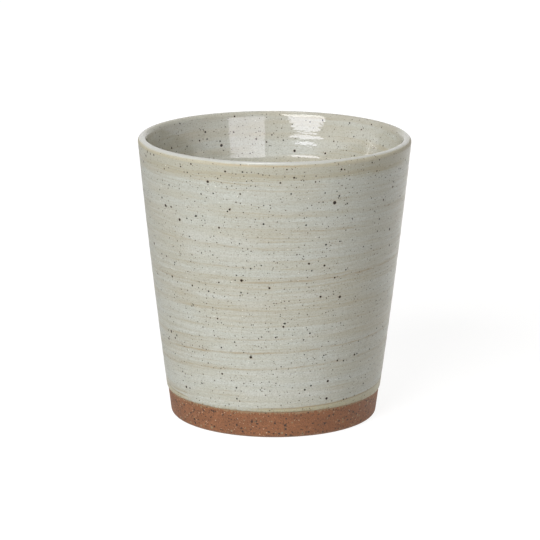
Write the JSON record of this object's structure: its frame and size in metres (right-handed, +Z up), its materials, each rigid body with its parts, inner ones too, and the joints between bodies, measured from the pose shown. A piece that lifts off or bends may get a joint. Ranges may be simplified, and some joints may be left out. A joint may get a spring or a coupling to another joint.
{
  "type": "mug",
  "caption": "Tapered stoneware mug without a handle: bare clay at the foot, a satin glaze outside and a glossy liner glaze inside and over the lip.",
  "frame": {"origin": "centre of the foot, on the surface that the mug stands on", "axes": "+Z up along the mug's axis, from the foot to the lip; -Y faces the picture's camera"},
  "size_m": [0.086, 0.086, 0.0895],
  "materials": {
    "bare_clay": "matte",
    "outer_glaze": "satin",
    "liner_glaze": "gloss"
  },
  "bodies": {
    "root": {"stoneware_body": "bare_clay", "outer_glaze": "outer_glaze", "liner_glaze": "liner_glaze"}
  },
  "joints": []
}
